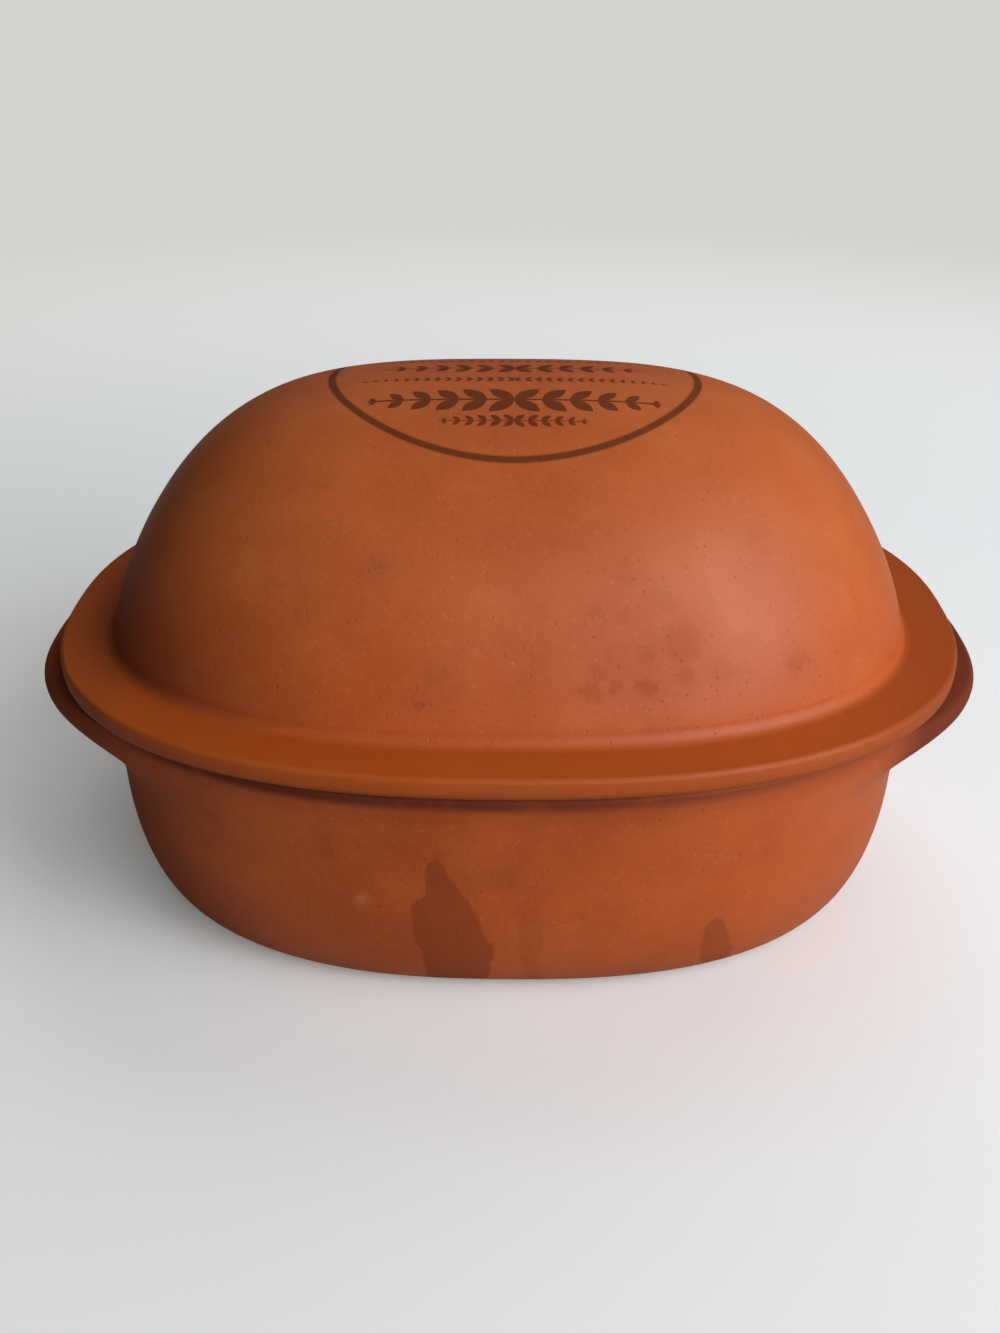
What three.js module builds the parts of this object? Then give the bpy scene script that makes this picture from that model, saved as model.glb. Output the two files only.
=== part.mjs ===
// Oval clay baker in two unglazed shells. The deep dish has a flat rim, a lug at each end and a flat foot.
// The domed lid rests its brim on that rim, and its locating step drops into the dish's mouth.
// Millimetres, +Z up, +X along the length. The origin is under the middle, on the standing face.
import * as THREE from 'three';

// Dish
const dishLength = 295;        // outline of the wall at the rim, without the lugs
const dishWidth = 236.5;
const dishHeight = 87;         // standing face to flat rim
const dishSquareness = 2.45;   // 2 gives an ellipse, more a squarer oval
const dishWall = 8;
const dishFloor = 9;
const wallTaper = 3;           // how far the wall draws in between rim and bottom curve
const bottomReach = 17.5;      // bottom curve, measured inward
const bottomRise = 50;         // bottom curve, measured upward
const rimOuterRound = 2;
const rimInnerRound = 2;
const footRingWidth = 14;
const footRecess = 1.2;
const footSlope = 2;

// Lugs
const lugReach = 24;           // beyond the wall at the middle of each end
const lugGathering = 7;        // a higher power keeps the lug nearer the end
const lugThickness = 6.5;
const lugDrop = 3;             // tip of the lug below the rim, which leaves room for fingers
const lugRootDepth = 24;       // where the underside runs into the wall, below the rim

// Lid
const overallHeight = 183.4;   // standing face to crown
const brimLength = 324;
const brimWidth = 244;         // overhangs the dish's rim on every side
const brimSquareness = 2.4;
const brimEdge = 9;            // thickness at the outer edge
const brimFall = 1.4;          // slope of the brim's upper face
const brimUpperRound = 2;
const brimLowerRound = 4;
const domeLength = 283;        // at the foot of the dome
const domeWidth = 210.4;
const domeSquareness = 2.48;
const domeWall = 8;
const ridgeCurve = 0.02;       // how much the crown curves down lengthways
const archCurve = 0.65;        // how much it curves down across the width
const shoulderPower = 3.75;    // higher keeps the crown level further out
const domeFullness = 1.28;     // higher makes the sides steeper near the foot
const coveRound = 4.5;         // hollow fillet where dome and brim meet
const stepDepth = 4;
const stepRound = 1.5;

// Fits
const seatGap = 0.3;           // between brim and rim
const stepPlay = 1.5;          // between locating step and mouth, all round

// Fineness
const stepsAround = 60;
const stepsOnDome = 12;
const stepsOnCurve = 6;
const stepsOnRound = 3;

const quarter = Math.PI / 2;

// Evenly spaced values from first to last, both included.
function spread(first, last, steps) {
  return Array.from({ length: steps + 1 }, (_, i) => first + (last - first) * i / steps);
}

// Points on part of an ellipse in a section: x is measured inward from an outline, z upward.
function roundPoints(x, z, reach, rise, from, to, steps) {
  return spread(from, to, steps).map((a) => [x + reach * Math.cos(a), z + rise * Math.sin(a)]);
}

// One point of an oval with the given half sizes.
function ovalPoint(halfLength, halfWidth, squareness, turn) {
  const c = Math.cos(turn);
  const s = Math.sin(turn);
  const power = 2 / squareness;
  return [
    halfLength * Math.sign(c) * Math.abs(c) ** power,
    halfWidth * Math.sign(s) * Math.abs(s) ** power,
  ];
}

// A closed shell over a row of hoops. A hoop gives the point at each turn round the vertical axis.
// The row begins at a pole that faces up and ends at one that faces down.
function shell(name, material, startHeight, hoops, endHeight) {
  const points = [0, 0, startHeight];
  const faces = [];
  for (const hoop of hoops) {
    for (let j = 0; j < stepsAround; j += 1) {
      points.push(...hoop(4 * quarter * j / stepsAround));
    }
  }
  const endPole = 1 + hoops.length * stepsAround;
  points.push(0, 0, endHeight);
  const at = (i, j) => 1 + i * stepsAround + j % stepsAround;
  const last = hoops.length - 1;
  for (let j = 0; j < stepsAround; j += 1) {
    faces.push(0, at(0, j), at(0, j + 1));
    for (let i = 0; i < last; i += 1) {
      faces.push(at(i, j), at(i + 1, j), at(i + 1, j + 1));
      faces.push(at(i, j), at(i + 1, j + 1), at(i, j + 1));
    }
    faces.push(at(last, j), endPole, at(last, j + 1));
  }
  const geometry = new THREE.BufferGeometry();
  geometry.setAttribute('position', new THREE.Float32BufferAttribute(points, 3));
  geometry.setIndex(faces);
  geometry.computeVertexNormals();
  const mesh = new THREE.Mesh(geometry, material);
  mesh.name = name;
  return mesh;
}

// Dish: each hoop blends a plain section, as at the front, into a lug section, as at the ends.
function dishHoop(plain, lug) {
  return (turn) => {
    const share = Math.abs(Math.cos(turn)) ** lugGathering;
    const inset = plain[0] + (lug[0] - plain[0]) * share;
    const z = plain[1] + (lug[1] - plain[1]) * share;
    const [x, y] = ovalPoint(dishLength / 2 - inset, dishWidth / 2 - inset, dishSquareness, turn);
    return [x, y, z];
  };
}

function wallInset(z) {
  return wallTaper * (dishHeight - z) / (dishHeight - bottomRise);
}

function dishSections() {
  const innerReach = bottomReach - dishFloor / 2;
  const innerRise = bottomRise - dishFloor;
  const innerTop = dishHeight - rimInnerRound;
  const rimSide = dishHeight - rimOuterRound;
  const rootHeight = dishHeight - lugRootDepth;
  const noseRound = lugThickness / 2;
  const noseHeight = dishHeight - lugDrop - noseRound;
  const noseCentre = noseRound - lugReach;

  const inside = [
    ...roundPoints(wallTaper + dishWall + innerReach, bottomRise, -innerReach, -innerRise,
      quarter, 0, stepsOnCurve),
    ...roundPoints(dishWall - rimInnerRound, innerTop, rimInnerRound + wallInset(innerTop), rimInnerRound,
      0, quarter, stepsOnRound),
  ];
  const rimEdge = roundPoints(rimOuterRound, rimSide, -rimOuterRound, rimOuterRound,
    quarter, 0, stepsOnRound);
  const lugTop = spread(rimOuterRound, noseCentre, stepsOnRound).map((inset, i) => {
    return [inset, dishHeight - lugDrop * (i / stepsOnRound) ** 2];
  });
  const lugNose = roundPoints(noseCentre, noseHeight, -noseRound, noseRound,
    quarter, -quarter, 2 * stepsOnRound).slice(1);
  const rootInset = wallInset(rootHeight);
  const underReach = rootInset - noseCentre;
  const underRise = noseHeight - noseRound - rootHeight;
  const lugUnder = roundPoints(noseCentre, rootHeight, underReach, underRise,
    quarter, 0, stepsOnRound).slice(1);
  const lugSide = [...lugNose, ...lugUnder];
  const plainSide = spread(rimSide, rootHeight, lugSide.length).slice(1).map((z) => [wallInset(z), z]);

  const footInset = wallTaper + bottomReach;
  const below = [
    ...roundPoints(footInset, bottomRise, -bottomReach, -bottomRise, 0, quarter, stepsOnCurve),
    [footInset + footRingWidth, 0],
    [footInset + footRingWidth + footSlope, footRecess],
  ];
  return [
    ...inside.map((point) => dishHoop(point, point)),
    ...rimEdge.map((point, i) => dishHoop(point, lugTop[i])),
    ...lugSide.map((point, i) => dishHoop(plainSide[i], point)),
    ...below.map((point) => dishHoop(point, point)),
  ];
}

// Lid: hoops given by their half sizes, squareness and height.
function lidHoop(halfLength, halfWidth, squareness, z) {
  return (turn) => [...ovalPoint(halfLength, halfWidth, squareness, turn), z];
}

const seatHeight = dishHeight + seatGap;
const brimTop = seatHeight + brimEdge + brimFall;
const domeFoot = brimTop + coveRound;

// Hoops of the dome from crown to foot, moved in by the wall's thickness for the inside.
// Each lies at one share of the way out, and its fall mixes the crown's gentle curve with the steep shoulder.
function domeHoops(inset) {
  const rise = overallHeight - inset - domeFoot;
  const shares = spread(0, quarter, stepsOnDome).slice(1).map((a) => Math.sin(a));
  return shares.map((share) => (turn) => {
    const [along, across] = ovalPoint(1, 1, domeSquareness, turn);
    const crown = ridgeCurve * along ** 2 + archCurve * across ** 2;
    const fall = crown * share ** 2 + (1 - crown) * share ** shoulderPower;
    const z = domeFoot + rise * Math.max(1 - fall, 0) ** (1 / domeFullness);
    return lidHoop((domeLength / 2 - inset) * share, (domeWidth / 2 - inset) * share, domeSquareness, z)(turn);
  });
}

function lidSections() {
  const brimHoop = ([inset, z]) => lidHoop(brimLength / 2 - inset, brimWidth / 2 - inset, brimSquareness, z);
  const coveHoop = ([grow, z]) => lidHoop(domeLength / 2 + grow, domeWidth / 2 + grow, domeSquareness, z);
  const stepHoop = ([inset, z]) => {
    const mouth = dishWall + stepPlay + inset;
    return lidHoop(dishLength / 2 - mouth, dishWidth / 2 - mouth, dishSquareness, z);
  };
  const stepFoot = seatHeight - stepDepth;
  const cove = roundPoints(coveRound, domeFoot, -coveRound, -coveRound, 0, quarter, stepsOnRound).slice(1);
  const edgeTop = brimTop - brimFall - brimUpperRound;
  const edge = [
    ...roundPoints(brimUpperRound, edgeTop, -brimUpperRound, brimUpperRound, quarter, 0, stepsOnRound),
    ...roundPoints(brimLowerRound, seatHeight + brimLowerRound, -brimLowerRound, -brimLowerRound,
      0, quarter, stepsOnRound),
  ];
  const step = [
    [0, seatHeight],
    [0, stepFoot + stepRound],
    [stepRound, stepFoot],
  ];
  return [
    ...domeHoops(0),
    ...cove.map(coveHoop),
    ...edge.map(brimHoop),
    ...step.map(stepHoop),
    coveHoop([stepRound - domeWall, stepFoot]),
    coveHoop([-domeWall, stepFoot + stepRound]),
    ...domeHoops(domeWall).reverse(),
  ];
}

const dishClay = new THREE.MeshStandardMaterial({ color: 0xa9572f, roughness: 0.88, metalness: 0 });
const lidClay = new THREE.MeshStandardMaterial({ color: 0xb4633a, roughness: 0.85, metalness: 0 });

const group = new THREE.Group();
group.name = 'clay_baking_brick';
group.add(shell('base_dish', dishClay, dishFloor, dishSections(), footRecess));
group.add(shell('lid', lidClay, overallHeight, lidSections(), overallHeight - domeWall));

export default group;
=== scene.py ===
import math

import bpy
import numpy as np
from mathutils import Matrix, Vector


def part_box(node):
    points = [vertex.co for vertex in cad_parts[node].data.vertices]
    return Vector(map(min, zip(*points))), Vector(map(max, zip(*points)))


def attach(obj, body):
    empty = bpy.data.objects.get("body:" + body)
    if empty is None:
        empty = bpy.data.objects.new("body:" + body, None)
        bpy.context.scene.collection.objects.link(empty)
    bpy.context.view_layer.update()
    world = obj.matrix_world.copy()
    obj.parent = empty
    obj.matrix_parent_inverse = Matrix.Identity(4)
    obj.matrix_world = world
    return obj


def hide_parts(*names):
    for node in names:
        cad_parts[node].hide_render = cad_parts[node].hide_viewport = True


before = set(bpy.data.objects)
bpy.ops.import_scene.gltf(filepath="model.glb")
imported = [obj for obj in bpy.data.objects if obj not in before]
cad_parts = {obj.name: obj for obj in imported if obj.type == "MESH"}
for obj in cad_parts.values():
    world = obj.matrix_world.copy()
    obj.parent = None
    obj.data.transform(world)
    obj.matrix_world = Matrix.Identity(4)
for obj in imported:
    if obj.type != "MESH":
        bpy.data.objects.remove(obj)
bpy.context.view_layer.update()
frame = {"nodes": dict(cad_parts)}        # the dish and the lid, in metres
scene = bpy.context.scene
mm = 0.001
turnCount = 400          # points round each hoop
turns = np.linspace(0, 2 * np.pi, turnCount, endpoint=False)
print("frame loaded:", ", ".join(frame["nodes"]))


# A colour as given on screen, turned into the linear values that shaders take.
def clayTone(red, green, blue):
    share = np.array([red, green, blue]) / 255
    linear = np.where(share <= 0.04045, share / 12.92, ((share + 0.055) / 1.055) ** 2.4)
    return (*linear.tolist(), 1.0)


# Hoops of an oval: x is half length times |cos| to the power 2/n, with the sign of cos,
# and y is half width likewise with sin. Sizes and heights are columns, one row per hoop, or whole grids.
def hoops(halfLength, halfWidth, squareness, height):
    x = halfLength * np.sign(np.cos(turns)) * np.abs(np.cos(turns)) ** (2 / squareness)
    y = halfWidth * np.sign(np.sin(turns)) * np.abs(np.sin(turns)) ** (2 / squareness)
    return np.stack(np.broadcast_arrays(x, y, height + 0 * turns), axis=-1)


# Part of an ellipse in a section: centre plus reach times cos, and centre plus rise times sin.
def arc(across, up, reach, rise, start, end, steps):
    angle = np.radians(np.linspace(start, end, steps + 1))
    return across + reach * np.cos(angle), up + rise * np.sin(angle)


# Straight strip between two hoops, both left out: each point is a share of the way from one to the other.
def between(first, last, steps):
    share = np.linspace(0, 1, steps + 1)[1:-1, None, None]
    return first * (1 - share) + last * share


def column(values):
    return np.asarray(values)[:, None]


# Outward directions of a grid: the cross product of its steps along the section and round the hoop.
def gridNormals(points):
    along = np.gradient(points, axis=0)
    around = np.roll(points, -1, axis=1) - np.roll(points, 1, axis=1)
    normal = np.cross(along, around)
    return normal / np.linalg.norm(normal, axis=-1, keepdims=True)


# How sharply the section turns: change of direction along each step, over the step's length, in 1/m.
# Edges come out positive and hollows negative.
def sectionCurve(points, normals):
    step = np.gradient(points, axis=0)
    turn = np.gradient(normals, axis=0)
    return (step * turn).sum(-1) / np.maximum((step * step).sum(-1), 1e-10)


# Rows of a grid eased into each other: many times over, each becomes half of itself and a quarter of
# each neighbour.
def eased(grid, passes):
    for _ in range(passes):
        grid = np.concatenate([grid[:1], (grid[:-2] + 2 * grid[1:-1] + grid[2:]) / 4, grid[-1:]])
    return grid


pressing = {"depth": 0.34 * mm, "waves": 16, "shortest": 22 * mm, "longest": 130 * mm, "seed": 11}
edges = {"wornFrom": 110, "wornOver": 200, "hollowFrom": 70, "hollowOver": 150}    # curvature in 1/m


# Uneven pressing of the clay: a sum of sine waves in chosen directions, longer ones deeper.
# It only takes clay away, so nothing grows past the frame.
def pressedIn(points, normals):
    rng = np.random.default_rng(pressing["seed"])
    heading = rng.normal(size=(pressing["waves"], 3))
    heading /= np.linalg.norm(heading, axis=1, keepdims=True)
    length = np.geomspace(pressing["shortest"], pressing["longest"], pressing["waves"])
    offset = rng.uniform(0, 2 * np.pi, pressing["waves"])
    phase = points @ (heading * (2 * np.pi / length)[:, None]).T + offset
    swell = (np.sin(phase) * length).sum(-1) / length.sum()
    return points - normals * (pressing["depth"] * (0.5 + 0.5 * swell))[..., None]


# A closed shell over a grid of hoops, with a pole at each end.
# Points carry three values for the clay: inner wall, worn edge and hollow.
def shellPiece(name, grid, inner):
    normals = gridNormals(grid)
    curve = sectionCurve(grid, normals)
    points = pressedIn(grid, normals)
    rows = len(points)
    poles = points[[0, -1]].mean(axis=1)
    corners = np.concatenate([poles[:1], points.reshape(-1, 3), poles[1:]])
    at = 1 + np.arange(rows * turnCount).reshape(rows, turnCount)
    ahead = np.roll(at, -1, axis=1)
    quads = np.stack([at[:-1], at[1:], ahead[1:], ahead[:-1]], axis=-1).reshape(-1, 4)
    firstFan = np.stack([0 * at[0], at[0], ahead[0]], axis=-1)
    lastFan = np.stack([at[-1], 0 * at[-1] + len(corners) - 1, ahead[-1]], axis=-1)
    sides = np.concatenate([np.full(turnCount, 3), np.full(len(quads), 4), np.full(turnCount, 3)])
    loops = np.concatenate([firstFan.ravel(), quads.ravel(), lastFan.ravel()])

    mesh = bpy.data.meshes.new(name)
    mesh.vertices.add(len(corners))
    mesh.vertices.foreach_set("co", corners.ravel())
    mesh.loops.add(len(loops))
    mesh.loops.foreach_set("vertex_index", loops)
    mesh.polygons.add(len(sides))
    mesh.polygons.foreach_set("loop_start", np.concatenate([[0], np.cumsum(sides)[:-1]]))
    mesh.polygons.foreach_set("use_smooth", np.ones(len(sides), bool))
    mesh.update(calc_edges=True)

    layers = {
        "inner": column(inner) + 0 * curve,
        "worn": np.clip((curve - edges["wornFrom"]) / edges["wornOver"], 0, 1),
        "hollow": np.clip((-curve - edges["hollowFrom"]) / edges["hollowOver"], 0, 1),
    }
    for layer, values in layers.items():
        ends = values[[0, -1]].mean(axis=1)
        every = np.concatenate([ends[:1], values.ravel(), ends[1:]])
        mesh.attributes.new(layer, "FLOAT", "POINT").data.foreach_set("value", every.astype(np.float32))
    piece = bpy.data.objects.new(name, mesh)
    scene.collection.objects.link(piece)
    print(name, "surface:", len(corners), "points,", int((sides - 2).sum()), "triangles")
    return piece


dishLow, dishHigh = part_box("base_dish")
lidLow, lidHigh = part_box("lid")

dish = {
    "lugReach": 24 * mm,         # beyond the wall, at the middle of each end
    "squareness": 2.45,
    "wall": 8 * mm,
    "floor": 9 * mm,
    "taper": 3 * mm,             # wall drawn in between rim and bottom curve
    "bottomReach": 17.5 * mm,
    "bottomRise": 50 * mm,
    "rimOuterRound": 2 * mm,
    "rimInnerRound": 2 * mm,
    "footRing": 14 * mm,
    "footRecess": 1.2 * mm,
    "footSlope": 2 * mm,
    "lugGathering": 7,           # higher keeps the lug nearer the end
    "lugThickness": 6.5 * mm,
    "lugDrop": 3 * mm,
    "lugRoot": 24 * mm,          # underside of the lug meets the wall this far below the rim
    "noseShare": 2 / 3,          # of the side's hoops, the rest run under the lug
    "flankPasses": 60,           # eases the flank where the lug runs out along the wall
    "easedTo": 0.3,              # lug share up to which it is eased, and from there on less and less
    "easedOver": 0.4,
    "pole": 0.03,                # first hoop of a disc, as a share of its size
    "floorEdge": 0.98,           # and its last one, on the floor and in the foot's recess
    "recessEdge": 0.97,
}
dishSteps = {                    # hoops, or steps between them, on each stretch of the section
    "floor": 26, "innerCurve": 26, "innerWall": 18, "innerRound": 9, "rim": 12, "side": 36, "wall": 8,
    "outerCurve": 34, "ring": 6, "slope": 3, "recess": 20,
}


# Dish: a section, given as inset from the outline and height, is carried round the oval.
# It is mixed from the plain section at the front and the lug section at the ends, by |cos| to a high power.
def dishSurface():
    d = dish
    steps = dishSteps
    top = dishHigh.z
    length = dishHigh.x - d["lugReach"]
    width = dishHigh.y
    lugShare = np.abs(np.cos(turns)) ** d["lugGathering"]

    def wallInset(z):
        return d["taper"] * (top - z) / (top - d["bottomRise"])

    def carried(plain, lug=None):
        lug = lug or plain
        inset = column(plain[0]) + column(lug[0] - plain[0]) * lugShare
        z = column(plain[1]) + column(lug[1] - plain[1]) * lugShare
        return hoops(length - inset, width - inset, d["squareness"], z)

    def disc(inset, z, shares):
        share = column(shares)
        return hoops((length - inset) * share, (width - inset) * share, d["squareness"], z)

    innerReach = d["bottomReach"] - d["floor"] / 2
    innerInset = d["taper"] + d["wall"] + innerReach
    innerTop = top - d["rimInnerRound"]
    rimSide = top - d["rimOuterRound"]
    root = top - d["lugRoot"]
    nose = d["lugThickness"] / 2
    noseZ = top - d["lugDrop"] - nose
    noseInset = nose - d["lugReach"]

    floorDisc = disc(innerInset, d["floor"], np.linspace(d["pole"], d["floorEdge"], steps["floor"]))
    innerCurve = arc(innerInset, d["bottomRise"], -innerReach, d["floor"] - d["bottomRise"],
                     90, 0, steps["innerCurve"])
    innerRound = arc(d["wall"] - d["rimInnerRound"], innerTop, d["rimInnerRound"] + wallInset(innerTop),
                     d["rimInnerRound"], 0, 90, steps["innerRound"])
    rimEdge = arc(d["rimOuterRound"], rimSide, -d["rimOuterRound"], d["rimOuterRound"], 90, 0, steps["rim"])
    reach = np.linspace(0, 1, steps["rim"] + 1)
    topInset = d["rimOuterRound"] + (noseInset - d["rimOuterRound"]) * reach
    lugTop = (topInset, top - d["lugDrop"] * reach ** 2)

    down = np.linspace(0, 1, steps["side"] + 1)[1:]
    sideZ = rimSide - (rimSide - root) * down
    noseTurn = np.pi * (0.5 - np.minimum(down / d["noseShare"], 1))
    underTurn = np.pi / 2 * (1 - np.maximum(down - d["noseShare"], 0) / (1 - d["noseShare"]))
    underReach = wallInset(root) - noseInset
    underRise = noseZ - nose - root
    under = down > d["noseShare"]
    lugInset = noseInset + np.where(under, underReach * np.cos(underTurn), -nose * np.cos(noseTurn))
    lugZ = np.where(under, root + underRise * np.sin(underTurn), noseZ + nose * np.sin(noseTurn))

    footInset = d["taper"] + d["bottomReach"]
    outerCurve = arc(footInset, d["bottomRise"], -d["bottomReach"], -d["bottomRise"],
                     0, 90, steps["outerCurve"])
    ringEnd = footInset + d["footRing"]
    recessInset = ringEnd + d["footSlope"]
    ring = (np.linspace(footInset, ringEnd, steps["ring"] + 1)[1:], np.zeros(steps["ring"]))
    climb = np.linspace(0, 1, steps["slope"] + 1)[1:]
    slope = (ringEnd + (recessInset - ringEnd) * climb, d["footRecess"] * climb)
    recess = np.linspace(d["recessEdge"], d["pole"], steps["recess"])

    inside = [floorDisc, carried(innerCurve)]
    rim = carried(innerRound)
    inside += [between(inside[-1][-1:], rim[:1], steps["innerWall"]), rim]
    outside = [
        carried(rimEdge, lugTop),
        carried((wallInset(sideZ), sideZ), (lugInset, lugZ)),
        carried(outerCurve),
        carried(ring),
        carried(slope),
        disc(recessInset, d["footRecess"], recess),
    ]
    outside.insert(2, between(outside[1][-1:], outside[2][:1], steps["wall"]))
    flank = np.concatenate([outside[1], outside[2]])
    firm = np.clip((lugShare - d["easedTo"]) / d["easedOver"], 0, 1)[:, None]
    outside[1:3] = [eased(flank, d["flankPasses"]) * (1 - firm) + flank * firm]
    inner = np.repeat([1.0, 0.0], [sum(map(len, inside)), sum(map(len, outside))])
    return np.concatenate(inside + outside), inner


lid = {
    "brimSquareness": 2.4,
    "brimEdge": 9 * mm,
    "brimFall": 1.4 * mm,
    "brimUpperRound": 2 * mm,
    "brimLowerRound": 4 * mm,
    "domeLength": 141.5 * mm,    # half sizes at the dome's foot
    "domeWidth": 105.2 * mm,
    "domeSquareness": 2.48,
    "domeWall": 8 * mm,
    "ridgeCurve": 0.02,          # how much the crown falls lengthways
    "archCurve": 0.65,           # and across
    "shoulderPower": 3.75,
    "domeFullness": 1.28,        # higher makes the sides steeper near the foot
    "coveRound": 4.5 * mm,
    "stepDepth": 4 * mm,
    "stepRound": 1.5 * mm,
    "stepPlay": 1.5 * mm,        # between locating step and mouth
    "pole": 0.2,                 # first hoop of the dome, as a share of the next one's size
}
lidSteps = {                     # steps between hoops on each stretch of the section
    "dome": 90, "cove": 13, "brimTop": 8, "edgeUpper": 13, "edgeLower": 10, "brimUnder": 7, "stepSide": 3,
    "stepRound": 6, "stepFoot": 4, "hollowFoot": 8, "hollow": 60,
}
seat = lidLow.z + lid["stepDepth"]                   # underside of the brim
brimTop = seat + lid["brimEdge"] + lid["brimFall"]   # where the cove meets the brim


# Lid: crown, cove, brim, locating step and hollow inside, as hoops from the crown out and back up inside.
# The dome's height at a share s of the way out is its rise times (1 - fall) to 1/fullness, where the fall
# mixes s squared, for the crown's gentle curve, with a high power of s, for the shoulder.
def lidSurface():
    c = lid
    steps = lidSteps
    foot = brimTop + c["coveRound"]

    def domeHoops(inset, shares):
        along = np.abs(np.cos(turns)) ** (4 / c["domeSquareness"])
        across = np.abs(np.sin(turns)) ** (4 / c["domeSquareness"])
        crown = c["ridgeCurve"] * along + c["archCurve"] * across
        s = column(shares)
        fall = crown * s ** 2 + (1 - crown) * s ** c["shoulderPower"]
        z = foot + (lidHigh.z - inset - foot) * np.maximum(1 - fall, 0) ** (1 / c["domeFullness"])
        return hoops((c["domeLength"] - inset) * s, (c["domeWidth"] - inset) * s, c["domeSquareness"], z)

    def coveHoops(section):
        grow, z = map(column, section)
        return hoops(c["domeLength"] + grow, c["domeWidth"] + grow, c["domeSquareness"], z)

    def brimHoops(section):
        inset, z = map(column, section)
        return hoops(lidHigh.x - inset, lidHigh.y - inset, c["brimSquareness"], z)

    def stepHoops(section):
        inset, z = map(column, section)
        inset = inset + dish["wall"] + c["stepPlay"]
        length = dishHigh.x - dish["lugReach"]
        return hoops(length - inset, dishHigh.y - inset, dish["squareness"], z)

    def shares(count):
        share = np.sin(np.linspace(0, np.pi / 2, count + 1))
        share[0] = c["pole"] * share[1]
        return share

    upper, lower, small, large = c["brimUpperRound"], c["brimLowerRound"], c["stepRound"], c["coveRound"]
    dome = domeHoops(0, shares(steps["dome"]))
    cove = coveHoops(arc(large, foot, -large, -large, 0, 90, steps["cove"]))[1:]
    edgeUpper = brimHoops(arc(upper, seat + c["brimEdge"] - upper, -upper, upper, 90, 0, steps["edgeUpper"]))
    edgeLower = brimHoops(arc(lower, seat + lower, -lower, -lower, 0, 90, steps["edgeLower"]))
    step = stepHoops(arc(small, lidLow.z + small, -small, -small, 0, 90, steps["stepRound"]))
    stepTop = stepHoops((np.zeros(1), np.full(1, seat)))
    turnUp = coveHoops(arc(small - c["domeWall"], lidLow.z + small, -small, -small,
                           90, 0, steps["stepRound"]))
    hollow = domeHoops(c["domeWall"], shares(steps["hollow"])[::-1])

    outside = [
        dome, cove, between(cove[-1:], edgeUpper[:1], steps["brimTop"]), edgeUpper, edgeLower,
        between(edgeLower[-1:], stepTop, steps["brimUnder"]), stepTop,
        between(stepTop, step[:1], steps["stepSide"]), step,
    ]
    inside = [
        between(step[-1:], turnUp[:1], steps["stepFoot"]), turnUp,
        between(turnUp[-1:], hollow[:1], steps["hollowFoot"]), hollow,
    ]
    inner = np.repeat([0.0, 1.0], [sum(map(len, outside)), sum(map(len, inside))])
    return np.concatenate(outside + inside), inner


dishPiece = shellPiece("dish_shell", *dishSurface())
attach(dishPiece, "dish")
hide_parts("base_dish")

lidPiece = shellPiece("lid_shell", *lidSurface())
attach(lidPiece, "lid")
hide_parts("lid")
print("shells made and riding on their bodies")


# One value in a finish. Arithmetic on it adds Math nodes, with plain numbers or other wires.
class Wire:
    def __init__(self, finish, socket):
        self.finish = finish
        self.socket = socket

    def __add__(self, other):
        return self.finish.maths("ADD", self, other)

    def __radd__(self, other):
        return self.finish.maths("ADD", other, self)

    def __sub__(self, other):
        return self.finish.maths("SUBTRACT", self, other)

    def __rsub__(self, other):
        return self.finish.maths("SUBTRACT", other, self)

    def __mul__(self, other):
        return self.finish.maths("MULTIPLY", self, other)

    def __rmul__(self, other):
        return self.finish.maths("MULTIPLY", other, self)

    def __truediv__(self, other):
        return self.finish.maths("DIVIDE", self, other)

    def __rtruediv__(self, other):
        return self.finish.maths("DIVIDE", other, self)

    def __pow__(self, other):
        return self.finish.maths("POWER", self, other)

    def __neg__(self):
        return self.finish.maths("SUBTRACT", 0.0, self)

    def __abs__(self):
        return self.finish.maths("ABSOLUTE", self)


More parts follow.
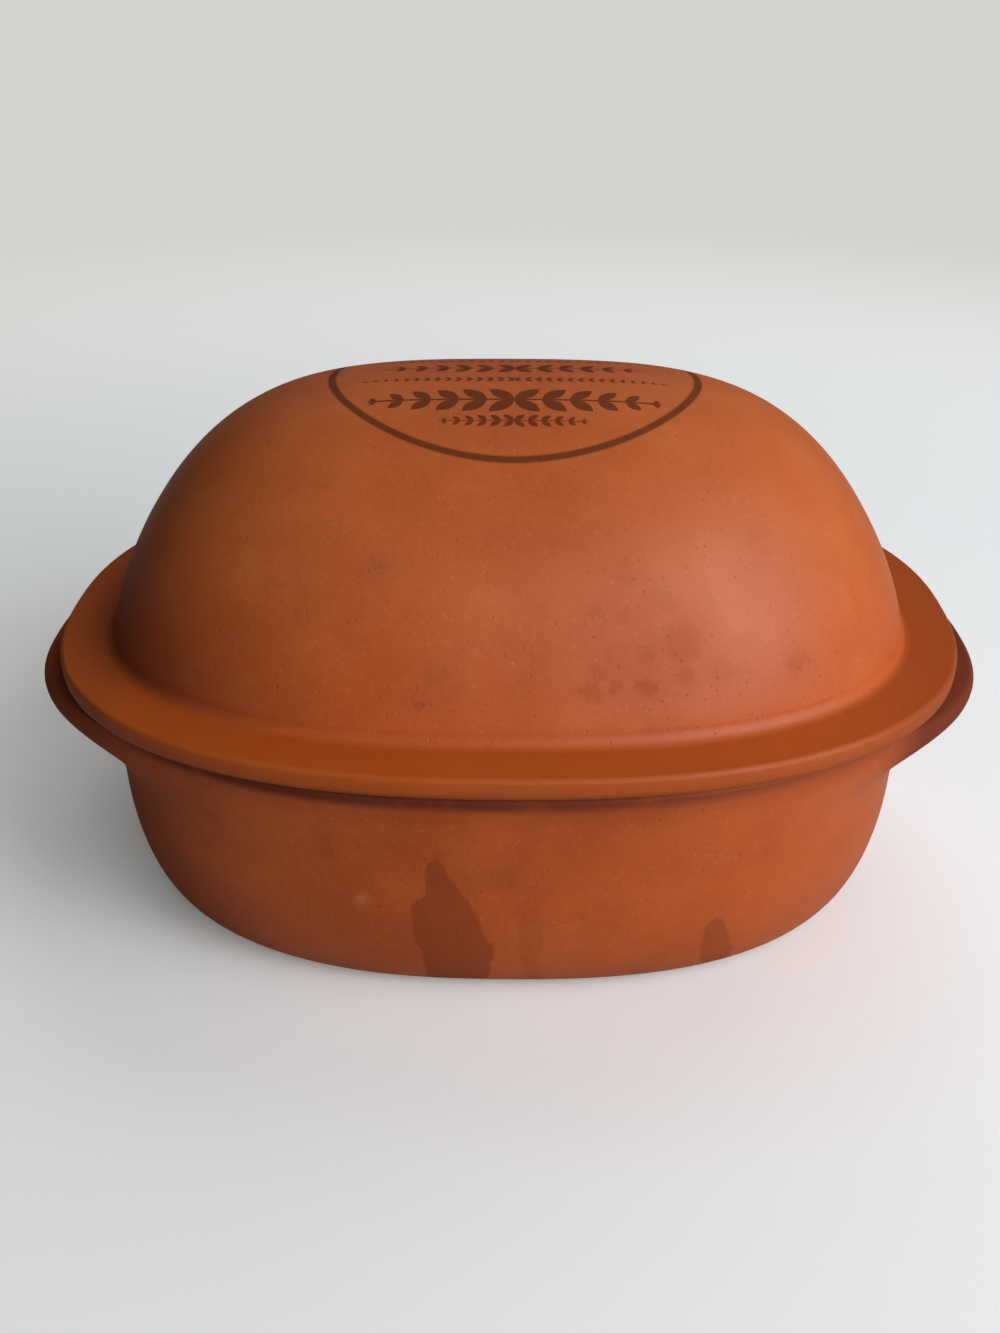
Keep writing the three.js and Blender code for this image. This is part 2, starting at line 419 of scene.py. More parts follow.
# A material's nodes. Every node but Math goes through node(), settings first and then sockets.
class Finish:
    def __init__(self, owner):
        self.tree = owner.node_tree
        self.tree.nodes.clear()

    def node(self, kind, settings=None, sockets=None, output=0):
        made = self.tree.nodes.new("ShaderNode" + kind)
        for key, value in (settings or {}).items():
            setattr(made, key, value)
        for key, value in (sockets or {}).items():
            if isinstance(value, Wire):
                self.tree.links.new(value.socket, made.inputs[key])
            else:
                made.inputs[key].default_value = value
        return Wire(self, made.outputs[output] if made.outputs else None)

    def maths(self, operation, *values):
        return self.node("Math", {"operation": operation}, dict(enumerate(values)))

    def larger(self, first, second):
        return self.maths("MAXIMUM", first, second)

    def ease(self, value, low, high):
        sockets = {"Value": value, "From Min": low, "From Max": high}
        return self.node("MapRange", {"interpolation_type": "SMOOTHSTEP"}, sockets)

    def tint(self, amount, first, second):
        return self.node("Mix", {"data_type": "RGBA"}, {0: amount, 6: first, 7: second}, 2)

    def vectors(self, operation, *values, output=0):
        return self.node("VectorMath", {"operation": operation}, dict(enumerate(values)), output)

    def place(self):
        return self.node("TexCoord", output=3)

    def axes(self, place):
        split = self.node("SeparateXYZ", {}, {0: place}).socket.node
        return [Wire(self, out) for out in split.outputs]

    def stretched(self, place, scale):
        return self.node("Mapping", {}, {"Vector": place, "Scale": scale})

    def noise(self, place, scale, detail=3.0, roughness=0.55, output=0):
        sockets = {"Vector": place, "Scale": scale, "Detail": detail, "Roughness": roughness}
        return self.node("TexNoise", {}, sockets, output)

    def layer(self, name):
        return self.node("Attribute", {"attribute_name": name}, output=2)

    # Small round grains: near the middle of a few cells, chosen by each cell's own colour.
    def grains(self, place, scale, size, chosen, solid=0.6, doubt=0.02):
        cells = {"Vector": place, "Scale": scale}
        distance = self.node("TexVoronoi", {}, cells)
        colour = self.node("TexVoronoi", {}, cells, 1)
        pick = self.node("SeparateColor", {}, {0: colour})
        near = 1 - self.ease(distance, size * solid, size)
        return near * self.ease(pick, 1 - chosen, 1 - chosen + doubt)


clay = {
    "ember": clayTone(174, 75, 18),      # deepest firing tone
    "clay": clayTone(195, 91, 32),
    "bloom": clayTone(206, 105, 47),     # palest firing tone
    "paleAndSheen": clayTone(216, 144, 92),      # grains of lighter clay, chips and scuffs, and the painted sheen high on the lid's dome
    "iron": clayTone(104, 46, 20),       # dark grains
    "worn": clayTone(208, 120, 72),      # rubbed edges
    "dampAndShade": clayTone(124, 46, 4),        # soaked or greasy patches, and the painted shade under the brim
    "seasoned": clayTone(126, 60, 26),   # inside, after baking
    "paintedShade": clayTone(98, 34, 6),         # painted shade: in the seam of rim and brim, on the lugs, along the brim's edge and ends, and at the dome's left foot
    "brimTopShade": clayTone(180, 80, 0),     # painted shade and orange bounce light from the dome, on the brim's top

    "firing": (7.5, 2.0),                # noises: scale, detail and roughness
    "cloud": (34.0, 5.0, 0.62),
    "grain": (620.0, 3.0, 0.65),
    "wiped": (1.0, 4.0, 0.6),
    "wipedStretch": (16.0, 16.0, 210.0),  # wiping marks run level round the piece
    "paleGrains": (430.0, 0.26, 0.1),    # grains: scale, size in their cell and share of cells
    "ironGrains": (330.0, 0.2, 0.06),
    "pores": (520.0, 0.3, 0.14),

    "clayFiring": 0.6,                   # share of the firing noise in a tone, the rest is cloud
    "bloomFiring": 0.45,
    "rubbedCloud": 0.6,                  # share of cloud in what is rubbed, the rest is grain
    "clayRange": (0.28, 0.56),           # where in its noise a tone begins and is full
    "bloomRange": (0.5, 0.78),
    "wipedRange": (0.55, 0.8),
    "paleRange": (0.5, 0.75),
    "emberRange": (0.52, 0.75),
    "rubbedRange": (0.4, 0.62),
    "hollowDarkerRange": (0.35, 0.65),

    "wipedTint": 0.14,                   # how strongly each one tints the clay
    "paleTint": 0.16,
    "emberTint": 0.2,
    "paleGrainTint": 0.24,
    "ironGrainTint": 0.34,
    "poreTint": 0.2,
    "rubbedTint": 0.4,
    "hollowDarkerTint": 0.3,

    "grainRelief": 0.3,                  # shares of the bump's depth
    "wipedRelief": 0.22,
    "cloudRelief": 0.3,
    "paleGrainRelief": 0.12,
    "poreRelief": 0.55,
    "bumpDepth": 0.35 * mm,
    "bumpStrength": 0.5,

    "roughness": 0.5,
    "grainRough": 0.16,
    "poreRough": 0.08,
    "rubbedSmooth": 0.1,
    "sheen": 0.42,                       # specular level
}
soak = {
    "shake": (150.0, 4.0, 0.65),         # noise that draws spots out of round: scale, detail and roughness
    "tide": 0.25,                        # how much darker a spot is towards its tide line
    "tideRange": (0.2, 0.7),             # ranges are shares of a spot's size
    "coreRange": (0.3, 1.05),
    "halo": 0.32,
    "haloRange": (0.4, 2.1),
    "patchRound": 2 * mm,                # rounding of a patch's corners
    "patchWander": 7 * mm,               # how far noise moves a patch's edge
    "patchEdge": (-0.5 * mm, 0.9 * mm),
}


# Spots soaked into the clay: strong inside each spot's ball, darker towards its tide line,
# and with a faint halo round it. Noise draws them out of round.
def soakedSpots(finish, place, spots, ragged):
    centred = finish.vectors("SUBTRACT", finish.noise(place, *soak["shake"], output=1), (0.5, 0.5, 0.5))
    moved = finish.vectors("MULTIPLY_ADD", centred, (ragged, ragged, ragged), place)
    total = 0.0
    for x, y, z, radius, strength in spots:
        away = finish.vectors("DISTANCE", moved, (x * mm, y * mm, z * mm), output=1) / (radius * mm)
        tide = (1 - soak["tide"]) + soak["tide"] * finish.ease(away, *soak["tideRange"])
        core = tide * (1 - finish.ease(away, *soak["coreRange"]))
        halo = soak["halo"] * (1 - finish.ease(away, *soak["haloRange"]))
        total = finish.larger(total, strength * finish.larger(core, halo))
    return total


# A soaked patch lies between a left and a right edge, each a row of places joined by straight steps
# in height. Noise roughens the edges.
def soakedPatch(finish, x, z, drift, outline):
    left, right = outline[0][1] * mm, outline[0][2] * mm
    for (low, lowLeft, lowRight), (high, highLeft, highRight) in zip(outline, outline[1:]):
        step = finish.node("MapRange", {}, {"Value": z, "From Min": low * mm, "From Max": high * mm})
        left = left + step * ((highLeft - lowLeft) * mm)
        right = right + step * ((highRight - lowRight) * mm)
    inside = finish.maths("SMOOTH_MIN", x - left, right - x, soak["patchRound"])
    inside = finish.maths("SMOOTH_MIN", inside, outline[-1][0] * mm - z, soak["patchRound"])
    return finish.ease(inside + drift * soak["patchWander"], *soak["patchEdge"])


# Unglazed fired clay. Returns the colour, roughness, bump height and cloud noise for the piece to add to.
def firedClay(finish, place, warmth):
    c = clay
    firing = finish.noise(place, *c["firing"])
    cloud = finish.noise(place, *c["cloud"])
    grain = finish.noise(place, *c["grain"])
    wiped = finish.noise(finish.stretched(place, c["wipedStretch"]), *c["wiped"])
    clayAmount = firing * c["clayFiring"] + cloud * (1 - c["clayFiring"]) + warmth
    bloomAmount = firing * c["bloomFiring"] + cloud * (1 - c["bloomFiring"]) + warmth
    tone = finish.tint(finish.ease(clayAmount, *c["clayRange"]), c["ember"], c["clay"])
    tone = finish.tint(finish.ease(bloomAmount, *c["bloomRange"]), tone, c["bloom"])
    tone = finish.tint(finish.ease(wiped, *c["wipedRange"]) * c["wipedTint"], tone, c["bloom"])
    tone = finish.tint(finish.ease(grain, *c["paleRange"]) * c["paleTint"], tone, c["paleAndSheen"])
    tone = finish.tint(finish.ease(1 - grain, *c["emberRange"]) * c["emberTint"], tone, c["ember"])

    paleGrains = finish.grains(place, *c["paleGrains"])
    ironGrains = finish.grains(place, *c["ironGrains"])
    pores = finish.grains(place, *c["pores"])
    tone = finish.tint(paleGrains * c["paleGrainTint"], tone, c["paleAndSheen"])
    tone = finish.tint(ironGrains * c["ironGrainTint"], tone, c["iron"])
    tone = finish.tint(pores * c["poreTint"], tone, c["iron"])

    rubbing = cloud * c["rubbedCloud"] + grain * (1 - c["rubbedCloud"])
    rubbed = finish.layer("worn") * finish.ease(rubbing, *c["rubbedRange"])
    tone = finish.tint(rubbed * c["rubbedTint"], tone, c["worn"])
    # Clay tinted toward the deepest firing tone in hollows, where the cloud noise allows.
    hollowDarker = finish.layer("hollow") * finish.ease(cloud, *c["hollowDarkerRange"])
    tone = finish.tint(hollowDarker * c["hollowDarkerTint"], tone, c["ember"])

    height = grain * c["grainRelief"] + wiped * c["wipedRelief"] + cloud * c["cloudRelief"]
    height = height + paleGrains * c["paleGrainRelief"] - pores * c["poreRelief"]
    roughness = c["roughness"] + (grain - 0.5) * c["grainRough"]
    roughness = roughness + pores * c["poreRough"] - rubbed * c["rubbedSmooth"]
    return tone, roughness, height, cloud


def clayMaterial(name):
    material = bpy.data.materials.new(name)
    material.use_nodes = True
    return material, Finish(material)


def finishClay(finish, tone, roughness, height):
    bump = finish.node("Bump", {}, {
        "Height": height, "Strength": clay["bumpStrength"], "Distance": clay["bumpDepth"],
    })
    surface = finish.node("BsdfPrincipled", {}, {
        "Base Color": tone, "Roughness": roughness, "Normal": bump, "Specular IOR Level": clay["sheen"],
    })
    finish.node("OutputMaterial", {}, {"Surface": surface})


dishMarks = {
    "spots": [                   # x, y, z and size in mm, then strength
        (-56.6, -111.5, 66.0, 3.6, 0.55),
        (-56.6, -111.6, 61.8, 3.6, 0.6),
        (-20.3, -116.0, 64.3, 2.8, 0.4),
        (29.2, -116.6, 79.0, 12.0, 0.4),
        (45.0, -114.6, 80.0, 9.0, 0.3),
        (-1.2, -115.6, 54.5, 8.5, 0.42),
        (8.0, -116.6, 67.0, 6.5, 0.22),
        (9.4, -115.2, 48.0, 6.5, 0.28),
        (52.7, -111.5, 54.3, 11.5, 0.22),
        (33.0, -113.4, 35.4, 12.5, 0.2),
    ],
    "patches": [                 # strength, then height, left and right edge in mm, from below
        (1.0, [
            (0, -27.0, -6.0), (10, -27.0, -4.6), (15, -27.2, -4.2), (22, -27.8, -4.0), (31, -30.6, -6.0),
            (39.5, -30.8, -9.0), (43.5, -30.4, -10.8), (47, -26.0, -12.4), (55, -25.6, -16.0),
            (58.5, -25.2, -18.0), (61.5, -22.8, -20.4),
        ]),
        (0.75, [
            (2, 69.0, 78.6), (12, 67.0, 77.4), (19, 66.0, 76.1), (24, 65.8, 74.9), (28, 66.6, 73.4),
            (32, 68.6, 71.6),
        ]),
        (0.3, [(8, 6.6, 13.2), (19, 5.7, 12.0), (34, 5.4, 12.6), (42, 7.0, 11.0)]),
    ],
    "chip": [(-45.7, -112.3, 43.6, 2.6, 1.0)],
    "ragged": 5 * mm,            # how far noise moves a spot's edge
    "chipRagged": 6 * mm,
    "warmth": -0.05,             # shifts the firing tones
    "drift": (85.0, 4.0, 0.6),   # noises: scale, detail and roughness
    "stray": (21.0, 4.0, 0.65),
    "strayRange": (0.6, 0.72),

    "front": (70 * mm, 80 * mm),         # toward the front, where the patches are
    "behind": (-40 * mm, 40 * mm),       # toward the back, which has more stray stains
    "right": (-20 * mm, 120 * mm),       # toward the right, where there is less painted shade
    "lug": (120 * mm, 142 * mm),         # out along each lug
    "leftLug": (100 * mm, 140 * mm),     # and along the left one, which gets less painted shade
    "leftWall": (60 * mm, 140 * mm),     # toward the left end, where the wall is matt
    "seamShade": (-7.0 * mm, -3.0 * mm),   # heights from the rim
    "lugFlank": (-20 * mm, -12 * mm),
    "lugTop": (-5 * mm, -2.5 * mm),
    "underBrimShade": (-14 * mm, -4 * mm),
    "scuff": (0.2 * mm, 1.6 * mm),       # heights from the standing face

    "soakedTint": 0.5,
    "strayTint": 0.22,
    "strayBehind": 0.22,
    "rightLess": 0.75,
    "leftLugLighter": 0.7,
    "shadeCloudRange": (0.15, 0.5),
    "shadeTint": 0.88,
    "lugShade": 0.9,
    "leftLugLess": 0.6,
    "leftTopLess": 0.2,
    "underBrimShadeEven": 0.5,
    "underBrimShadeCloud": 0.8,
    "underBrimShadeTint": 0.32,
    "bakedCloud": 0.7,
    "bakedDeep": 0.5,            # more baked on toward the floor
    "bakedRange": (0.3, 0.75),
    "bakedTint": 0.62,
    "chipTint": 0.36,
    "chipDepth": 0.4,
    "scuffRange": (0.3, 0.6),
    "scuffTint": 0.45,
    "soakedRough": 0.2,
    "bakedSmooth": 0.16,
    "shadeRough": 0.4,
    "leftRough": 0.26,
}


def dishFinish():
    m = dishMarks
    material, finish = clayMaterial("dish_terracotta")
    place = finish.place()
    x, y, z = finish.axes(place)
    tone, roughness, height, cloud = firedClay(finish, place, m["warmth"])
    inner = finish.layer("inner")
    outer = 1 - inner
    fromRim = z - dishHigh.z

    # Soaked in at the front, and stray stains all round.
    soaked = soakedSpots(finish, place, m["spots"], m["ragged"]) * outer
    drift = finish.noise(place, *m["drift"]) - 0.5
    front = finish.ease(-y, *m["front"]) * outer
    for strength, outline in m["patches"]:
        soaked = finish.larger(soaked, soakedPatch(finish, x, z, drift, outline) * front * strength)
    tone = finish.tint(soaked * m["soakedTint"], tone, clay["dampAndShade"])
    stray = finish.ease(finish.noise(place, *m["stray"]), *m["strayRange"])
    behind = finish.ease(y, *m["behind"])
    tone = finish.tint(stray * (m["strayTint"] + behind * m["strayBehind"]), tone, clay["dampAndShade"])

    # Painted shade under the brim, in the seam of rim and brim, and on the lugs.
    leftMore = 1 - m["rightLess"] * finish.ease(x, *m["right"])
    onLug = finish.ease(abs(x), *m["lug"])
    leftLug = finish.ease(-x, *m["leftLug"])
    shadeSpread = finish.larger(leftMore, onLug) * (1 - leftLug * m["leftLugLighter"])
    shadeSpread = shadeSpread * finish.ease(cloud, *m["shadeCloudRange"])
    # Painted shade in the seam where rim meets brim, darker on the left, away from the lamps.
    seamShade = finish.ease(fromRim, *m["seamShade"]) * shadeSpread * outer
    flank = onLug * finish.ease(fromRim, *m["lugFlank"]) * outer
    lugTop = finish.ease(fromRim, *m["lugTop"])
    # Painted shade on the lug's flank and top, lighter on the left lug.
    lugShade = flank * (m["lugShade"] - leftLug * (m["leftLugLess"] + lugTop * m["leftTopLess"]))
    seamShade = finish.larger(seamShade, lugShade)
    # Painted shade: a darker band just under the brim.
    underBrimShade = finish.ease(fromRim, *m["underBrimShade"]) * (m["underBrimShadeEven"] + cloud * m["underBrimShadeCloud"]) * outer
    tone = finish.tint(underBrimShade * m["underBrimShadeTint"], tone, clay["dampAndShade"])
    tone = finish.tint(seamShade * m["shadeTint"], tone, clay["paintedShade"])

    # Baked on inside, one chip, and a scuffed foot.
    baking = cloud * m["bakedCloud"] + (1 - z / dishHigh.z) * m["bakedDeep"]
    baked = inner * finish.ease(baking, *m["bakedRange"])
    tone = finish.tint(baked * m["bakedTint"], tone, clay["seasoned"])
    chip = soakedSpots(finish, place, m["chip"], m["chipRagged"])
    tone = finish.tint(chip * m["chipTint"], tone, clay["paleAndSheen"])
    scuffed = (1 - finish.ease(z, *m["scuff"])) * finish.ease(cloud, *m["scuffRange"])
    tone = finish.tint(scuffed * m["scuffTint"], tone, clay["paleAndSheen"])

    leftWall = finish.ease(-x, *m["leftWall"]) * outer
    matt = finish.larger(finish.larger(seamShade, flank) * m["shadeRough"], leftWall * m["leftRough"])
    roughness = roughness + soaked * m["soakedRough"] - baked * m["bakedSmooth"] + matt
    finishClay(finish, tone, roughness, height - chip * m["chipDepth"])
    return material


lidMarks = {
    "spots": [                   # x, y, z and size in mm, then strength
        (-40.5, -79.4, 147.4, 2.6, 0.95),
        (-37.3, -79.5, 147.8, 3.0, 1.0),
        (-63.8, -78.8, 142.1, 3.2, 0.5),
        (3.0, -86.3, 141.6, 2.8, 0.35),
        (27.7, -89.6, 135.5, 4.4, 0.5),
        (35.6, -89.7, 134.4, 3.8, 0.55),
        (36.3, -81.5, 145.5, 5.2, 0.35),
        (47.8, -84.4, 139.6, 7.2, 0.35),
        (54.0, -77.6, 146.6, 4.6, 0.25),
        (53.9, -91.1, 127.4, 9.4, 0.62),
        (55.2, -95.6, 117.9, 4.8, 0.6),
        (42.5, -94.8, 124.2, 4.8, 0.65),
        (33.8, -99.5, 116.3, 3.4, 0.8),
        (43.1, -98.7, 115.5, 5.2, 0.8),
        (26.4, -100.7, 114.8, 4.4, 0.65),
        (29.1, -98.0, 120.4, 3.8, 0.5),
        (33.2, -95.8, 124.3, 3.8, 0.45),
        (65.8, -93.0, 118.2, 7.2, 0.35),
        (91.0, -84.5, 115.6, 3.8, 0.55),
        (94.4, -82.1, 116.7, 3.4, 0.45),
        (-20.7, -99.1, 119.1, 6.4, 0.75),
        (-17.3, -100.9, 115.4, 6.8, 0.5),
        (-25.7, -102.0, 111.5, 3.4, 0.95),
        (3.5, -100.2, 117.5, 3.0, 0.5),
        (79.6, -64.3, 151.1, 8.5, 0.2),
        (44.0, -95.0, 122.0, 17.0, 0.3),
        (38.0, -87.0, 137.5, 14.0, 0.2),
    ],
    "ragged": 11 * mm,
    "warmth": 0.075,
    "stray": (24.0, 4.0, 0.65),
    "strayRange": (0.61, 0.73),

    "behind": (-40 * mm, 40 * mm),
    "right": (-70 * mm, 100 * mm),
    "rightEnd": (90 * mm, 150 * mm),
    "leftEnd": (122 * mm, 136 * mm),
    "leftFront": (0.0, 30 * mm),
    "leftFootShade": (40 * mm, 130 * mm),
    "underBrim": (0.4 * mm, 2.6 * mm),   # heights from the brim's underside
    "brimEdge": (1 * mm, 8 * mm),
    "brimFace": (-0.2 * mm, 1.6 * mm),   # heights from the brim's top
    "domeFoot": (8 * mm, 44 * mm),
    "upperDome": (12 * mm, 52 * mm),

    "soakedTint": 0.4,
    "strayTint": 0.16,
    "strayBehind": 0.2,
    "rightLess": 0.75,
    "shadeCloudRange": (0.15, 0.5),
    "shadeTint": 0.8,
    "brimTopShadeRange": (0.3, 0.7),
    "brimTopShadeEven": 0.6,
    "brimTopShadeCloud": 0.3,
    "edgeTint": 0.2,
    "rightEndTint": 0.27,
    "leftEndTint": 0.18,
    "footTint": 0.42,
    "upperSheenEven": 0.7,
    "upperSheenCloud": 0.6,
    "upperSheenTint": 0.12,
    "bakedRange": (0.35, 0.7),
    "bakedTint": 0.5,
    "soakedRough": 0.28,
    "bakedSmooth": 0.14,
    "brimTopRough": 0.14,
    "footRough": 0.32,
}
printed = {
    "centreX": 2.1 * mm,         # printed a little off the middle
    "centreY": 7.4 * mm,
    "halfLength": 63.8 * mm,
    "halfWidth": 59.3 * mm,
    "line": 2.7 * mm,
    "lineEdge": 0.4,             # softness of the line, as a share of half its width
    "ink": clayTone(68, 30, 12),
    "inkTint": 0.74,
    "inkSmooth": 0.08,
    "fromCrown": (-30 * mm, -25 * mm),   # only this near the crown
    "rubbed": (260.0, 4.0, 0.7),         # noise that thins the ink: scale, detail and roughness
    "rubbedRange": (0.58, 0.78),
    "rubbedOff": 0.55,
    "sprigs": [                  # distance from the middle, half length, leaf pitch and leaf length
        (0 * mm, 46 * mm, 7.6 * mm, 8.0 * mm),
        (13 * mm, 54 * mm, 3.6 * mm, 3.2 * mm),
        (29.4 * mm, 49 * mm, 9.2 * mm, 11.5 * mm),
        (42 * mm, 25 * mm, 4.4 * mm, 4.8 * mm),
    ],
    "leafLean": 42.0,
    "leafWidth": 0.23,           # of its length, to each side
    "leafTaper": 0.4,            # lower keeps leaves full nearer the ends
    "leafEdge": 0.12 * mm,
    "shortestLeaf": 0.1 * mm,
    "stem": (0.035, 0.06),       # where it begins to fade and ends, as shares of a leaf's length
    "sprigEnd": 0.5 * mm,
}


# A sprig lies along x, with pairs of pointed leaves that lean outward from its middle and shrink to its
# ends. In each cell of the pitch a leaf is where the distance from its axis is under a parabola along it.
def sprig(finish, x, y, distance, half, pitch, length):
    p = printed
    lean = math.radians(p["leafLean"])
    along = abs(x)
    taper = finish.larger(1 - (along / half) ** 2, 0.0) ** p["leafTaper"]
    inCell = finish.maths("FRACT", along / pitch) * pitch
    aside = abs(abs(y) - distance)
    leafAlong = inCell * math.cos(lean) + aside * math.sin(lean)
    leafAcross = abs(aside * math.cos(lean) - inCell * math.sin(lean))
    halfLeaf = taper * (length / 2)
    bow = 1 - ((leafAlong - halfLeaf) / finish.larger(halfLeaf, p["shortestLeaf"])) ** 2
    leafInside = bow * taper * (length * p["leafWidth"]) - leafAcross
    leaf = finish.ease(leafInside, -p["leafEdge"], p["leafEdge"])
    stem = 1 - finish.ease(aside, *(length * share for share in p["stem"]))
    within = 1 - finish.ease(along, half - p["sprigEnd"], half)
    return finish.larger(leaf, stem) * within


# The print: an oval line, where the distance from the middle is one half size, and sprigs within it.
def inkOnClay(finish, place, x, y, z):
    p = printed
    along = x - p["centreX"]
    across = y - p["centreY"]
    reach = ((along / p["halfLength"]) ** 2 + (across / p["halfWidth"]) ** 2) ** 0.5
    halfLine = p["line"] / (p["halfLength"] + p["halfWidth"])
    edge = halfLine * p["lineEdge"]
    ink = 1 - finish.ease(abs(reach - 1), halfLine - edge, halfLine + edge)
    for distance, half, pitch, length in p["sprigs"]:
        ink = finish.larger(ink, sprig(finish, along, across, distance, half, pitch, length))
    kept = 1 - finish.ease(finish.noise(place, *p["rubbed"]), *p["rubbedRange"]) * p["rubbedOff"]
    return ink * finish.ease(z - lidHigh.z, *p["fromCrown"]) * kept


def lidFinish():
    m = lidMarks
    material, finish = clayMaterial("lid_terracotta")
    place = finish.place()
    x, y, z = finish.axes(place)
    tone, roughness, height, cloud = firedClay(finish, place, m["warmth"])
    inner = finish.layer("inner")
    outer = 1 - inner
    fromSeat = z - seat
    fromBrim = z - brimTop

    # Soaked in at the front, and stray stains all round.
    soaked = soakedSpots(finish, place, m["spots"], m["ragged"]) * outer
    tone = finish.tint(soaked * m["soakedTint"], tone, clay["dampAndShade"])
    stray = finish.ease(finish.noise(place, *m["stray"]), *m["strayRange"])
    behind = finish.ease(y, *m["behind"])
    tone = finish.tint(stray * (m["strayTint"] + behind * m["strayBehind"]), tone, clay["dampAndShade"])

    # Brim: painted shade below, along its edge and at its ends, and painted shade with orange bounce light
    # from the dome on its top.
    leftMore = 1 - m["rightLess"] * finish.ease(x, *m["right"])
    # Painted shade on the brim's underside and lower edge, in the seam, darker on the left.
    brimUnderShade = (1 - finish.ease(fromSeat, *m["underBrim"])) * finish.ease(cloud, *m["shadeCloudRange"])
    tone = finish.tint(brimUnderShade * leftMore * outer * m["shadeTint"], tone, clay["paintedShade"])
    # Painted shade and orange bounce light from the dome, on the brim's top.
    brimTopShade = (1 - finish.ease(fromBrim, *m["brimFace"])) * outer
    unevenly = m["brimTopShadeEven"] + finish.ease(cloud, *m["brimTopShadeRange"]) * m["brimTopShadeCloud"]
    tone = finish.tint(brimTopShade * unevenly, tone, clay["brimTopShade"])
    # Painted shade along the brim's edge, darkest at the seam.
    brimEdgeShade = (1 - finish.ease(fromSeat, *m["brimEdge"])) * outer
    tone = finish.tint(brimEdgeShade * m["edgeTint"], tone, clay["paintedShade"])
    # Painted shade on the brim's top at its far right end and at its left front end.
    rightEnd = finish.ease(x, *m["rightEnd"]) * m["rightEndTint"]
    leftEnd = finish.ease(-x, *m["leftEnd"]) * finish.ease(-y, *m["leftFront"]) * m["leftEndTint"]
    tone = finish.tint(brimTopShade * finish.larger(rightEnd, leftEnd), tone, clay["paintedShade"])

    # Dome: painted shade at its foot on the left, a painted sheen paler toward the crown, and baked on
    # inside.
    # Painted shade at the dome's foot on the left, away from the lamps.
    leftFootShade = finish.ease(-x, *m["leftFootShade"]) * (1 - finish.ease(fromBrim, *m["domeFoot"]))
    leftFootShade = leftFootShade * (1 - brimTopShade) * outer
    tone = finish.tint(leftFootShade * m["footTint"], tone, clay["paintedShade"])
    # Painted sheen: the dome paler toward the crown.
    bloom = finish.ease(fromBrim, *m["upperDome"]) * (m["upperSheenEven"] + cloud * m["upperSheenCloud"]) * outer
    tone = finish.tint(bloom * m["upperSheenTint"], tone, clay["paleAndSheen"])
    baked = inner * finish.ease(cloud, *m["bakedRange"])
    tone = finish.tint(baked * m["bakedTint"], tone, clay["seasoned"])

    ink = inkOnClay(finish, place, x, y, z) * outer
    tone = finish.tint(ink * printed["inkTint"], tone, printed["ink"])
    roughness = roughness + soaked * m["soakedRough"] - baked * m["bakedSmooth"] - ink * printed["inkSmooth"]
    roughness = roughness + brimTopShade * m["brimTopRough"] + leftFootShade * m["footRough"]
    finishClay(finish, tone, roughness, height)
    return material


dishPiece.data.materials.append(dishFinish())
lidPiece.data.materials.append(lidFinish())
print("clay finished")

studio = {
    "floorRadius": 30.0,
    "floorHoops": 32,
    "floorCrowding": 3,          # higher brings the hoops nearer the middle
    "floorSkip": 5,              # takes every fifth point of a hoop
    "floorDrop": 0.1 * mm,       # keeps the foot ring from sharing a plane with the floor
    "floorTone": clayTone(245, 249, 244),
    "floorGain": 1.28,           # how much brighter than lit the camera sees the floor, shadow and all
    "floorLift": 0.12,           # share of its own tone that the camera always sees
    "underTone": clayTone(150, 148, 144),   # what the floor sends back to the clay
    "floorSheen": 0.35,          # how far the clay's sheen sees the floor as the camera does
    "backTone": clayTone(211, 210, 205),
    "fadeFrom": 0.35,            # floor fades to the backdrop's tone over this distance
    "fadeTo": 1.25,
    "middle": 0.09,              # height that the lamps aim at
    "ambient": 0.04,
    "ambientTone": (1.0, 0.97, 0.9, 1.0),
    "daylight": (0.93, 0.92, 1.0),
    "lamps": {                   # degrees right of the front, rise, distance, size, watts and seen in sheen
        "window_key": (42.0, 18.0, 2.0, 1.8, 35.0, True),
        "window_side": (60.0, 42.0, 2.0, 1.2, 13.0, True),
        "ceiling_fill": (148.0, 52.0, 1.8, 1.4, 7.0, False),
        "back_fill": (186.0, 14.0, 2.0, 1.6, 8.0, False),
    },
}


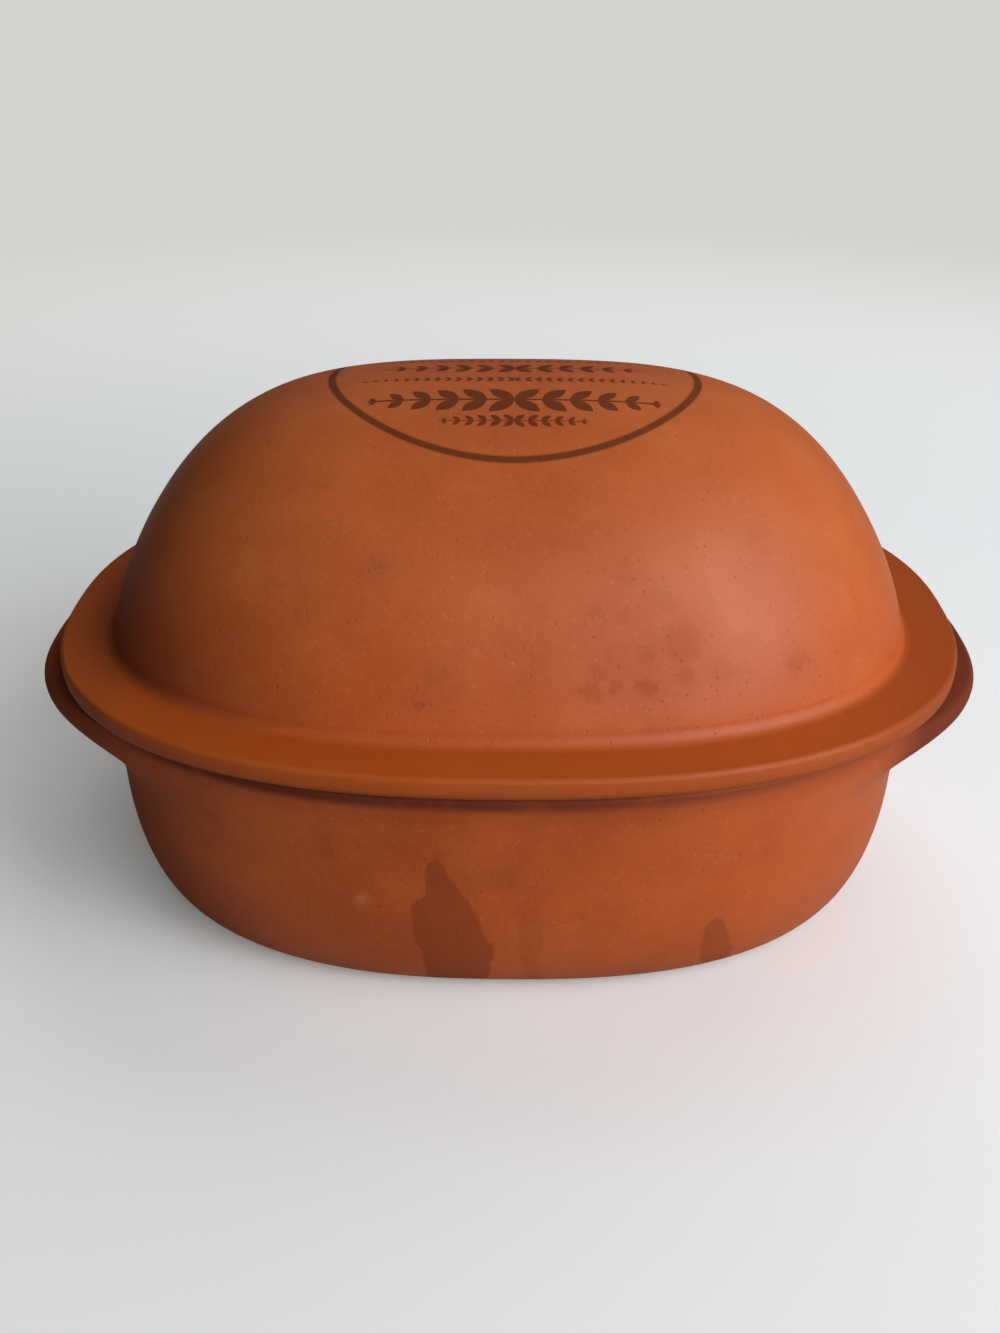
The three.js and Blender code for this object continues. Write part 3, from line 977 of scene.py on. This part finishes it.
# Floor: a flat disc, radius times cos and sin of the turn, with closer hoops near the middle.
def makeFloor():
    rows = studio["floorHoops"]
    radius = column(studio["floorRadius"] * np.linspace(0, 1, rows + 1)[1:] ** studio["floorCrowding"])
    disc = hoops(radius, radius, 2, np.full((rows, 1), -studio["floorDrop"]))[:, ::studio["floorSkip"]]
    count = disc.shape[1]
    at = np.arange(rows * count).reshape(rows, count)
    ahead = np.roll(at, -1, axis=1)
    quads = np.stack([at[:-1], at[1:], ahead[1:], ahead[:-1]], axis=-1).reshape(-1, 4)
    mesh = bpy.data.meshes.new("studio_floor")
    mesh.from_pydata(disc.reshape(-1, 3), [], [at[0].tolist()] + quads.tolist())
    floor = bpy.data.objects.new("studio_floor", mesh)
    scene.collection.objects.link(floor)

    material, finish = clayMaterial("pale_floor")
    away = finish.vectors("LENGTH", finish.place(), output=1)
    seen = finish.node("LightPath", output="Is Camera Ray")
    mirrored = finish.node("LightPath", output="Is Glossy Ray") * studio["floorSheen"]
    shown = (*(np.array(studio["floorTone"][:3]) * studio["floorGain"]).tolist(), 1.0)
    tone = finish.tint(finish.larger(seen, mirrored), studio["underTone"], shown)
    near = finish.node("BsdfDiffuse", {}, {"Color": tone})
    fade = finish.ease(away, studio["fadeFrom"], studio["fadeTo"])
    glow = finish.node("Emission", {}, {"Color": finish.tint(fade, studio["floorTone"], studio["backTone"])})
    lift = (studio["floorLift"] + (1 - studio["floorLift"]) * fade) * seen
    surface = finish.node("MixShader", {}, {0: lift, 1: near, 2: glow})
    finish.node("OutputMaterial", {}, {"Surface": surface})
    mesh.materials.append(material)


def makeLight():
    for name, (right, up, away, size, watts, glossy) in studio["lamps"].items():
        turn = math.radians(right)
        rise = math.radians(up)
        light = bpy.data.lights.new(name, "AREA")
        light.energy = watts
        light.color = studio["daylight"]
        light.size = size
        lamp = bpy.data.objects.new(name, light)
        lamp.location = (
            away * math.sin(turn) * math.cos(rise),
            -away * math.cos(turn) * math.cos(rise),
            away * math.sin(rise) + studio["middle"],
        )
        lamp.rotation_euler = (math.pi / 2 - rise, 0, turn)
        lamp.visible_camera = False
        lamp.visible_glossy = glossy
        scene.collection.objects.link(lamp)

    world = bpy.data.worlds.new("studio")
    world.use_nodes = True
    scene.world = world
    finish = Finish(world)
    seen = finish.node("LightPath", output="Is Camera Ray")
    room = finish.node("Background", {}, {"Color": studio["ambientTone"], "Strength": studio["ambient"]})
    back = finish.node("Background", {}, {"Color": studio["backTone"], "Strength": 1.0})
    surface = finish.node("MixShader", {}, {0: seen, 1: room, 2: back})
    finish.node("OutputWorld", {}, {"Surface": surface})


view = {
    "focal": 1395.0,             # in pixels of a frame 1333 high
    "frameHeight": 1333.0,
    "sensor": 36.0,
    "nearest": 0.01,             # nothing closer is drawn
    "back": 0.470,               # in front of the middle
    "height": 0.3265,
    "pitch": 28.8,               # degrees down
    "turn": -0.85,
    "aside": -0.003,
}


def makeCamera():
    lens = bpy.data.cameras.new("camera")
    lens.sensor_width = view["sensor"]
    lens.lens = view["sensor"] * view["focal"] / view["frameHeight"]
    lens.clip_start = view["nearest"]
    turn = math.radians(view["turn"])
    camera = bpy.data.objects.new("camera", lens)
    camera.location = (
        view["aside"] * math.cos(turn) - view["back"] * math.sin(turn),
        -view["aside"] * math.sin(turn) - view["back"] * math.cos(turn),
        view["height"],
    )
    camera.rotation_euler = (math.radians(90 - view["pitch"]), 0, -turn)
    scene.collection.objects.link(camera)
    scene.camera = camera


makeFloor()
makeLight()
makeCamera()
scene.view_settings.view_transform = "Standard"
print("stage, light and camera set")
